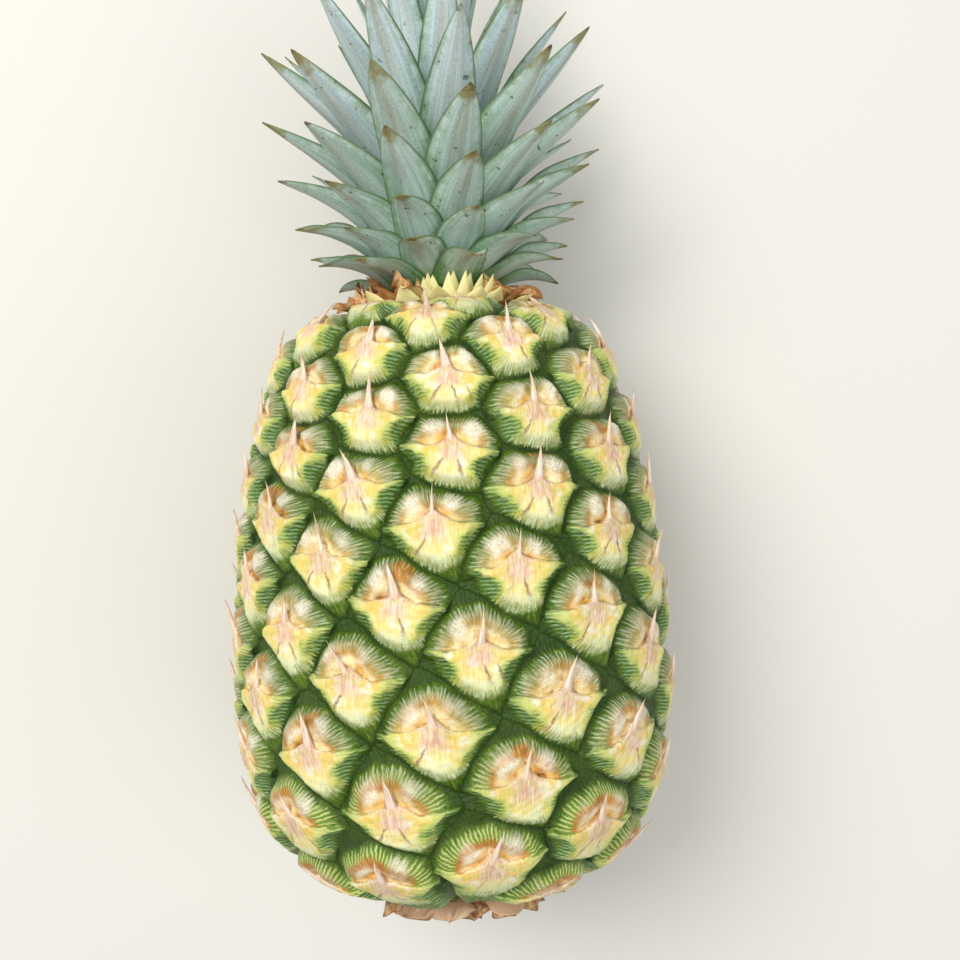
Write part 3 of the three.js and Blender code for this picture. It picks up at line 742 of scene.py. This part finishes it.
def shaped_blade(name, turn, midline, half, cup, twist, columns, thick, start, seed, torn=0):
    """A blade at that turn round the axis. midline is its rows of (radius, height), and half its
    width, its cup and its twist have a value for each row. start is the station of height 0, seed
    its own number from 0 to 1, and torn how ragged its end is."""
    rows = len(midline)
    bpy.ops.mesh.primitive_grid_add(x_subdivisions=columns - 1, y_subdivisions=rows - 1, size=2)
    piece = bpy.context.object
    piece.name = name
    piece.data.name = name
    # a runs from -1 to 1 across the blade, and n is the row
    a, up, _ = points_of(piece).T
    n = np.rint((up + 1) / 2 * (rows - 1)).astype(int)
    tangent = np.gradient(midline, axis=0)
    tangent /= np.linalg.norm(tangent, axis=1, keepdims=True)
    inward = np.stack([-tangent[:, 1], tangent[:, 0]], -1)
    # Its edges are wavy, and its end is ragged where it is torn
    wave = 0.05 * half[n] * np.sin(9 * n / rows + seed * 40 + 3 * np.sign(a)) * np.abs(a) ** 3
    across = half[n] * a * np.cos(twist[n])
    depth = cup[n] * np.abs(a) ** 1.8 + half[n] * a * np.sin(twist[n]) + wave
    tear = torn * (n / rows) ** 2 * (np.sin(4.1 * a + 60 * seed) + np.sin(8.3 * a + 97 * seed))
    spot = midline[n] + inward[n] * depth[:, None] + tangent[n] * tear[:, None]
    x = across * math.cos(turn) + spot[:, 0] * math.sin(turn)
    z = -across * math.sin(turn) + spot[:, 0] * math.cos(turn)
    points = to_world(np.stack([x, start + spot[:, 1], z], -1))
    points[:, 2] = np.maximum(points[:, 2], (FLOOR_CLEARANCE + thick) * MM)
    piece.data.vertices.foreach_set("co", points.astype(np.float32).ravel())
    give_vector(piece, "blade_place", np.stack([a, n / (rows - 1), np.full(len(a), seed)], -1))
    # Thinner towards its tip and its edges
    thin = piece.vertex_groups.new(name="thin")
    weights = np.round((1 - 0.6 * (n / (rows - 1)) ** 2) * (1 - 0.5 * a**4), 2)
    for step in np.unique(weights):
        thin.add([int(v) for v in np.flatnonzero(weights == step)], float(step), "REPLACE")
    bpy.ops.object.mode_set(mode="EDIT")
    bpy.ops.mesh.select_all(action="SELECT")
    bpy.ops.mesh.remove_doubles(threshold=0.02 * MM)
    bpy.ops.object.mode_set(mode="OBJECT")
    sheet = piece.modifiers.new("thickness", "SOLIDIFY")
    sheet.thickness = thick * MM
    sheet.offset = 0
    sheet.vertex_group = "thin"
    sheet.material_offset = 1
    bpy.ops.object.modifier_apply(modifier="thickness")
    soften = piece.modifiers.new("soften", "SUBSURF")
    soften.levels = soften.render_levels = 1
    bpy.ops.object.modifier_apply(modifier="soften")
    bpy.ops.object.shade_smooth()
    return piece


def stem_radius(height):
    return STEM_FOOT - (STEM_FOOT - STEM_TIP) * height / STEM_HEIGHT


def swell(low, middle, top, share):
    """A value that goes softly from low to middle and then to top."""
    first = low + (middle - low) * smooth(0, 0.55, share)
    return first + (top - first) * smooth(0.55, 1, share)


def evenly(curve, count):
    """Points at equal steps along a curve."""
    steps = np.append(0, np.cumsum(np.linalg.norm(np.diff(curve, axis=0), axis=1)))
    at = np.linspace(0, steps[-1], count)
    return np.stack([np.interp(at, steps, curve[:, n]) for n in range(2)], -1)


def bezier(points, count):
    """Evenly spaced points on the curve of four control points."""
    t = np.linspace(0, 1, 90)[:, None]
    p0, p1, p2, p3 = (np.array(p, float) for p in points)
    curve = (1 - t) ** 3 * p0 + 3 * (1 - t) ** 2 * t * p1 + 3 * (1 - t) * t * t * p2 + t**3 * p3
    return evenly(curve, count)


def make_leaf(i, name, rows, columns):
    """Leaf i of the spiral. The low ones are short and lean out, and the top ones stand up."""
    share = i / (LEAF_COUNT - 1)
    rise = share - 0.6 * share * (1 - share)
    foot_height = 6 + 52 * rise
    # Loose leaves stand just off the stem, and the others are sunk into it
    seat = 0.9 if i < LOOSE_LEAVES else -1.2
    foot = np.array([stem_radius(foot_height) + seat, foot_height])
    tip = np.array([swell(41, 58, 6, share), 10 + 160 * rise])
    span = np.linalg.norm(tip - foot)
    # Its angles from the axis at its foot and at its tip
    leaves = 0.85 + (0.12 - 0.85) * smooth(0, 1, share)
    arrives = 1.75 + (0.1 - 1.75) * share
    ahead = foot + np.array([math.sin(leaves), math.cos(leaves)]) * span * 0.34
    behind = tip - np.array([math.sin(arrives), math.cos(arrives)]) * span * 0.42
    midline = bezier([foot, ahead, behind, tip], rows)
    t = np.linspace(0, 1, rows)
    drawn = np.random.default_rng(500 + i)
    hook = drawn.uniform(-0.6, 1.0) * 2.2
    midline[:, 1] += hook * smooth(0.7, 1, t) * (1 - share)
    width = swell(16, 20, 8, share)
    full = width / 2 * (1 - t**3) ** 0.95
    half = np.minimum(full, np.maximum(midline[:, 0], 2.5) * 0.85)
    # It wraps the stem at its foot and opens into a shallow gutter
    wrap = midline[:, 0] - np.sqrt(np.maximum(midline[:, 0] ** 2 - half**2, 0))
    opened = smooth(0.1, 0.6, t)
    cup = wrap + (half * 0.45 - wrap) * opened - 0.35
    twist = drawn.normal(0, 0.10) * t**2
    turn = math.radians(FIRST_LEAF_TURN + LEAF_TURN * i)
    curves = (midline, half, cup, twist)
    return shaped_blade(name, turn, *curves, columns, 1.1, FRUIT_LENGTH, drawn.random())


def leaf_material(name, light, dark, foot, roughness):
    """Leathery leaf: a waxy bloom makes it silvery and dull, streaked lengthwise between its veins,
    with a thin green edge, a greener foot and a dried olive tip."""
    made, tree, shader = new_material(name)
    place = add(tree, "TexCoord")[3]
    where, across, along, seed = stored(tree, "blade_place")
    # Veins 1 mm apart, and broad washes of colour between them
    veins = grain(tree, where, (9.0, 0.8, 61.0), 4.0, 0.65)
    washes = grain(tree, where, (1.6, 1.3, 83.0), 2.0, 0.5)
    speckle = add(tree, "TexNoise", place, 1 / (0.6 * MM), 2.0, 0.6)[0]
    spots = add(tree, "TexNoise", place, 1 / (3.2 * MM), 2.0, 0.5)[0]
    edge = add(tree, "Math", across, operation="ABSOLUTE")
    dried = add(tree, "Math", spots, 0.22, along, operation="MULTIPLY_ADD")
    margin = add(tree, "Math", speckle, 0.12, edge, operation="MULTIPLY_ADD")
    skin = coats(
        tree,
        light,
        (dark, 0.8, (veins, 0.46, 0.68)),
        ("#D3E0DA", 0.55, (veins, 0.46, 0.3)),
        (dark, 0.75, (washes, 0.48, 0.66)),
        ("#86A27A", 0.55, (edge, 0.35, 0.9), (spots, 0.4, 0.6)),
        ("#A6967C", 0.55, (edge, 0.5, 0.0), (along, 0.3, 0.75), (washes, 0.3, 0.55)),
        (foot, 0.8, (along, 0.36, 0.04)),
        ("#42882C", 0.85, (edge, 0.1, 0.9), (along, 0.75, 0.15), (veins, 0.28, 0.56)),
        ("#DDE7E2", 0.45, (speckle, 0.56, 0.7)),
        ("#5F7A62", 0.4, (speckle, 0.43, 0.3)),
        ("#3F4F36", 0.85, (spots, 0.685, 0.715), (speckle, 0.35, 0.5)),
        ("#6F9060", 0.6, (margin, 0.88, 1.0)),
        ("#44602F", 0.7, (margin, 0.98, 1.04)),
        ("#8B8448", 0.9, (dried, 0.94, 1.05), (seed, 0.0, 0.3)),
        ("#6A4A2A", 0.9, (dried, 1.05, 1.11)),
    )
    finish_with(tree, shader, skin, roughness, veins, 0.4, 0.5 * MM)
    return made


outer_side = leaf_material("leaf_outer_bloom", "#C6DBD3", "#9BB8AC", "#7FAE4E", 0.55)
inner_side = leaf_material("leaf_inner_green", "#8FAA98", "#6C8B74", "#8FA866", 0.45)
young_side = leaf_material("young_leaf_bloom", "#C9DCDF", "#A5BCC1", "#A9BC94", 0.55)

inner_leaves = []
for i in range(LEAF_COUNT):
    loose = i < LOOSE_LEAVES
    name = f"leaf_blade_{i + 1:02d}"
    leaf = make_leaf(i, name, *(LOOSE_GRID if loose else INNER_GRID))
    leaf.data.materials.append(outer_side if loose else young_side)
    leaf.data.materials.append(inner_side)
    if loose:
        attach(leaf, "root")
        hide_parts(f"leaf_{i + 1:02d}")
    else:
        inner_leaves.append(leaf)

# The stem that the leaves stand on: a cone on its foot, then laid along the axis
bpy.ops.object.select_all(action="DESELECT")
bpy.ops.mesh.primitive_cone_add(
    vertices=32,
    radius1=STEM_FOOT * MM,
    radius2=STEM_TIP * MM,
    depth=STEM_HEIGHT * MM,
    location=(0, 0, STEM_HEIGHT / 2 * MM),
)
stem = bpy.context.object
bpy.ops.object.transform_apply(location=True)
lay = np.array([[1, 0, 0], [0, 0, 1], [0, -1, 0]])
stem_points = points_of(stem) @ lay.T / MM + [0, FRUIT_LENGTH + 0.3, 0]
stem.data.vertices.foreach_set("co", to_world(stem_points).astype(np.float32).ravel())
stem.data.materials.append(inner_side)
heart = joined([*inner_leaves, stem], "inner_leaves")
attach(heart, "root")
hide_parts("leaf_heart")

# The collar of short bracts under the leaves, and the ragged dry bracts round the stalk

BRACT_ROWS = 13
BRACT_COLUMNS = 7
# Each ring of the collar, from the outermost: its count, foot and lean, and the cosine of how far
# round its fresh bracts reach. Then the ranges of a bract's length, width and curl, and its taper
COLLAR_RINGS = [
    (18, (28.4, 0.2), 0.9, 0.3),
    (26, (24.8, 0.2), 0.5, 0.8),
    (22, (22.2, 0.9), 0.25, 0.8),
    (18, (19.8, 1.8), 0.12, 0.8),
]
FRESH_BRACT = [(7.5, 10), (5, 6.6), (-0.2, 0.3)], 1.1
DRIED_BRACT = [(7, 12), (6, 10), (-1.6, 1.9)], 2.2
# Each ring round the stalk, from the outermost: its count and radius. Then the ranges of a dry
# bract's length, width, lean and curl, and its taper
BASE_RINGS = [(13, 26.5), (12, 21.0), (14, 16.5), (16, 14.6)]
THIN_STRIP = [(12, 20), (1.6, 2.8), (0.1, 0.6), (-1.6, 1.2)], 2.5
BROAD_PAPER = [(6, 10), (11, 18), (0.7, 1.2), (-0.8, 0.5)], 3.2
FLAT_PAPER = [(9, 14), (6, 9), (1.2, 1.4), (-0.3, 0.1)], 1.8


def bract_material(name, fresh, dry, edge):
    """Papery bract: thin and dull, streaked lengthwise, and darker along its edges and at its tip.
    The higher its seed, the drier it is."""
    made, tree, shader = new_material(name)
    place = add(tree, "TexCoord")[3]
    where, across, along, seed = stored(tree, "blade_place")
    veins = grain(tree, where, (5.0, 1.1, 43.0), 3.0, 0.6)
    mottle = add(tree, "TexNoise", place, 1 / (2.2 * MM), 2.0, 0.5)[0]
    side = add(tree, "Math", across, operation="ABSOLUTE")
    reach = add(tree, "Math", side, along, operation="MAXIMUM")
    reach = add(tree, "Math", mottle, 0.3, reach, operation="MULTIPLY_ADD")
    skin = coats(
        tree,
        fresh,
        (dry, 1.0, (seed, 0.3, 0.6)),
        ("#E6C894", 0.7, (mottle, 0.45, 0.62), (seed, 0.45, 0.7)),
        ("#8E5430", 0.7, (mottle, 0.5, 0.34), (seed, 0.45, 0.7)),
        (edge, 0.75, (veins, 0.5, 0.75), (seed, 0.0, 0.6)),
        ("#FBF3D4", 0.45, (veins, 0.45, 0.3)),
        (edge, 0.85, (reach, 1.0, 1.2), (seed, 0.0, 0.5)),
    )
    finish_with(tree, shader, skin, 0.7, veins, 0.5, 0.5 * MM)
    return made


collar_paper = bract_material("collar_bract_paper", "#FFF7B0", "#D1924E", "#7E4A22")
dry_paper = bract_material("dry_bract_paper", "#DDB695", "#B4835A", "#6A452A")


def make_bract(name, turn, foot, length, width, lean, curl, taper, start, below, seed):
    """A bract, more crumpled the higher its seed. foot is its (radius, height), lean its angle
    from the axis, curl bends it further out, taper is about 1 for a pointed one and more for a
    blunt one, and below says that it grows towards the stalk."""
    t = np.linspace(0, 1, BRACT_ROWS)
    angle = lean + curl * t**1.5
    step = length / (BRACT_ROWS - 1)
    way = -1 if below else 1
    radii = foot[0] + np.append(0, np.cumsum(np.sin(angle[1:]) * step))
    heights = foot[1] + way * np.append(0, np.cumsum(np.cos(angle[1:]) * step))
    crumple = 1 + 0.22 * seed * np.sin(13 * t + 30 * seed)
    half = width / 2 * (1 - t**taper) ** 0.9 * crumple + 0.05
    cup = way * half * (0.22 + 0.35 * seed)
    twist = 2.2 * max(seed - 0.25, 0) * math.sin(40 * seed) * t
    curves = (np.stack([radii, heights], -1), half, cup, twist)
    return shaped_blade(name, turn, *curves, BRACT_COLUMNS, 0.4, start, seed, 1.5 * seed)


collar_bracts = []
for ring, (count, foot, lean, reaches) in enumerate(COLLAR_RINGS):
    for n in range(count):
        turn = 2 * math.pi * (n + 0.5 * ring + chance.uniform(-0.25, 0.25)) / count
        # Fresh where it faces the camera, dried further round
        fresh = smooth(reaches, reaches + 0.15, math.cos(turn - 0.25))
        seed = float(np.clip(0.74 - 0.72 * fresh + chance.uniform(-0.2, 0.25), 0, 1))
        ranges, taper = FRESH_BRACT if fresh > 0.5 else DRIED_BRACT
        length, width, curl = [chance.uniform(*limits) for limits in ranges]
        if ring == 0:
            # The outermost are short and broad
            length, width = length * 0.7, width * 1.4
        turned_out = lean + chance.uniform(-0.15, 0.2) + 0.15 * (1 - fresh)
        shape = (length, width, turned_out, curl, taper)
        made = make_bract(f"collar_{ring}_{n}", turn, foot, *shape, FRUIT_LENGTH, False, seed)
        made.data.materials.append(collar_paper)
        collar_bracts.append(made)
collar = joined(collar_bracts, "collar_leaflets")
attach(collar, "root")
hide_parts("collar_bracts")

base_bracts = []
for ring, (count, radius) in enumerate(BASE_RINGS):
    for n in range(count):
        turn = 2 * math.pi * (n + 0.5 * ring + chance.uniform(-0.3, 0.3)) / count
        # The two outer rings stand out, broad with a few thin strips, and the inner ones lie flat
        ranges, taper = FLAT_PAPER
        if ring < 2:
            ranges, taper = THIN_STRIP if chance.random() < 0.25 else BROAD_PAPER
        shape = (*[chance.uniform(*limits) for limits in ranges], taper)
        seed = float(chance.random())
        foot = (radius, -0.5 - 0.5 * ring)
        made = make_bract(f"dry_{ring}_{n}", turn, foot, *shape, 0, True, seed)
        made.data.materials.append(dry_paper)
        base_bracts.append(made)
base = joined(base_bracts, "base_leaflets")
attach(base, "root")
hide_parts("base_bracts")

# The cut stub of the stalk: its edge is worn, and the middle of its cut has shrunk


def stalk_material():
    """Cut stalk: dried fibrous pith, so it is dull, pale tan on the cut with the dark ends of its
    fibres, and brown with lengthwise strings down its side."""
    made, tree, shader = new_material("cut_stalk_fibre")
    where, _, _, outward = stored(tree, "stub_place")
    # Fibre ends 1.2 mm apart
    ends = add(tree, "TexVoronoi", where, 0.85, feature="F1")[0]
    mottle = add(tree, "TexNoise", where, 0.5, 3.0, 0.6)[0]
    strings = grain(tree, where, (1.4, 0.12, 1.4), 3.0, 0.5)
    skin = coats(
        tree,
        "#CDB184",
        ("#A98655", 0.8, (mottle, 0.4, 0.7)),
        ("#6F4F2E", 0.8, (ends, 0.32, 0.16)),
        ("#8A6A40", 0.9, (outward, 0.82, 0.98)),
        ("#5C4526", 0.7, (outward, 0.95, 1.0), (strings, 0.45, 0.65)),
    )
    finish_with(tree, shader, skin, 0.8, strings, 0.5, 0.5 * MM)
    return made


def make_stub(material):
    """Modelled upright, its cut uppermost, then laid along the axis with the cut outwards."""
    bpy.ops.object.select_all(action="DESELECT")
    size = {"radius": STUB_RADIUS * MM, "depth": STUB_LENGTH * MM}
    bpy.ops.mesh.primitive_cylinder_add(vertices=56, **size)
    stub = bpy.context.object
    stub.name = "stub"
    stub.data.name = "stub"
    bpy.ops.object.mode_set(mode="EDIT")
    bpy.ops.mesh.select_all(action="DESELECT")
    bpy.ops.object.mode_set(mode="OBJECT")
    for face in stub.data.polygons:
        face.select = face.normal.z > 0.9
    bpy.ops.object.mode_set(mode="EDIT")
    # Rings of the cut from its edge inwards: how wide each is, and how much it rises
    for width, rise in [(1.1, 0), (1.6, -0.5), (3.2, -0.4), (3.6, 0.2)]:
        bpy.ops.mesh.inset(thickness=width * MM, depth=rise * MM)
    bpy.ops.object.mode_set(mode="OBJECT")
    worn = stub.modifiers.new("worn_edge", "BEVEL")
    worn.width = 0.9 * MM
    worn.segments = 3
    worn.limit_method = "ANGLE"
    worn.angle_limit = math.radians(50)
    bpy.ops.object.modifier_apply(modifier="worn_edge")
    bpy.ops.object.shade_smooth_by_angle(angle=math.radians(50))
    # Its side and the edge of its cut are rough
    upright = points_of(stub) / MM
    outward = np.hypot(upright[:, 0], upright[:, 1])
    rough = 0.25 * wobble(upright, 4, 7) * smooth(4, 12, outward)
    upright[:, :2] *= (1 + rough / 14)[:, None]
    upright[:, 2] += 0.8 * rough * (upright[:, 2] > 0)
    points = np.stack([upright[:, 0], STUB_MIDDLE - upright[:, 2], upright[:, 1]], -1)
    stub.data.vertices.foreach_set("co", to_world(points).astype(np.float32).ravel())
    give_vector(stub, "stub_place", np.stack([upright[:, 0], upright[:, 1], outward / 13.5], -1))
    stub.data.materials.append(material)
    return stub


stub = make_stub(stalk_material())
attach(stub, "root")
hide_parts("stalk_stub")

# The floor, the light and the camera

bpy.ops.object.select_all(action="DESELECT")
bpy.ops.mesh.primitive_plane_add(size=8, location=(0, 0, 0))
floor = bpy.context.object
floor.name = "floor"
paper, paper_tree, paper_shader = new_material("floor_paper")
give(paper_tree, paper_shader.inputs["Base Color"], "#E4E2DC")
give(paper_tree, paper_shader.inputs["Roughness"], 0.9)
floor.data.materials.append(paper)

# Fitted to the photograph: the camera's place in the fruit's own coordinates, its roll, and its
# focal length in pixels of the frame
CAMERA_AT = (10.84, 127.3, 364.4)
CAMERA_ROLL = math.radians(2.139)
FOCUS_PX = 1106
FRAME_PX = 960
SENSOR_WIDTH = 36


def make_light(name, at, aim, size, power, tint):
    lamp = bpy.data.lights.new(name, "AREA")
    lamp.shape = "DISK"
    lamp.size = size
    lamp.energy = power
    lamp.color = tint
    light = bpy.data.objects.new(name, lamp)
    light.location = at
    light.rotation_mode = "QUATERNION"
    light.rotation_quaternion = (Vector(aim) - Vector(at)).to_track_quat("-Z", "Y")
    scene.collection.objects.link(light)


AIM = (0, 0, 0.05)
make_light("key_light", (-0.6, 0.5, 1.2), AIM, size=0.8, power=14.5, tint=(1.0, 0.98, 0.94))
make_light("fill_light", (0.9, -0.4, 1.0), AIM, size=1.1, power=4.8, tint=(0.98, 0.99, 1.0))
make_light("top_light", (0.1, 0.1, 1.8), (0, 0, 0), size=1.6, power=7.2, tint=(1, 1, 0.98))
world = bpy.data.worlds.new("studio_air")
world.use_nodes = True
background = world.node_tree.nodes["Background"].inputs
give(world.node_tree, background["Color"], "#EEF0EE")
give(world.node_tree, background["Strength"], 0.38)
scene.world = world
scene.view_settings.view_transform = "Standard"

lens = bpy.data.cameras.new("camera")
lens.sensor_width = SENSOR_WIDTH
lens.lens = SENSOR_WIDTH * FOCUS_PX / FRAME_PX
camera = bpy.data.objects.new("camera", lens)
scene.collection.objects.link(camera)
roll_cos, roll_sin = math.cos(CAMERA_ROLL), math.sin(CAMERA_ROLL)
right = LIE @ np.array([roll_cos, -roll_sin, 0])
up = LIE @ np.array([roll_sin, roll_cos, 0])
back = LIE @ np.array([0, 0, 1.0])
stand = to_world(CAMERA_AT)
rows = [[right[i], up[i], back[i], stand[i]] for i in range(3)]
camera.matrix_world = Matrix([*rows, [0, 0, 0, 1]])
scene.camera = camera
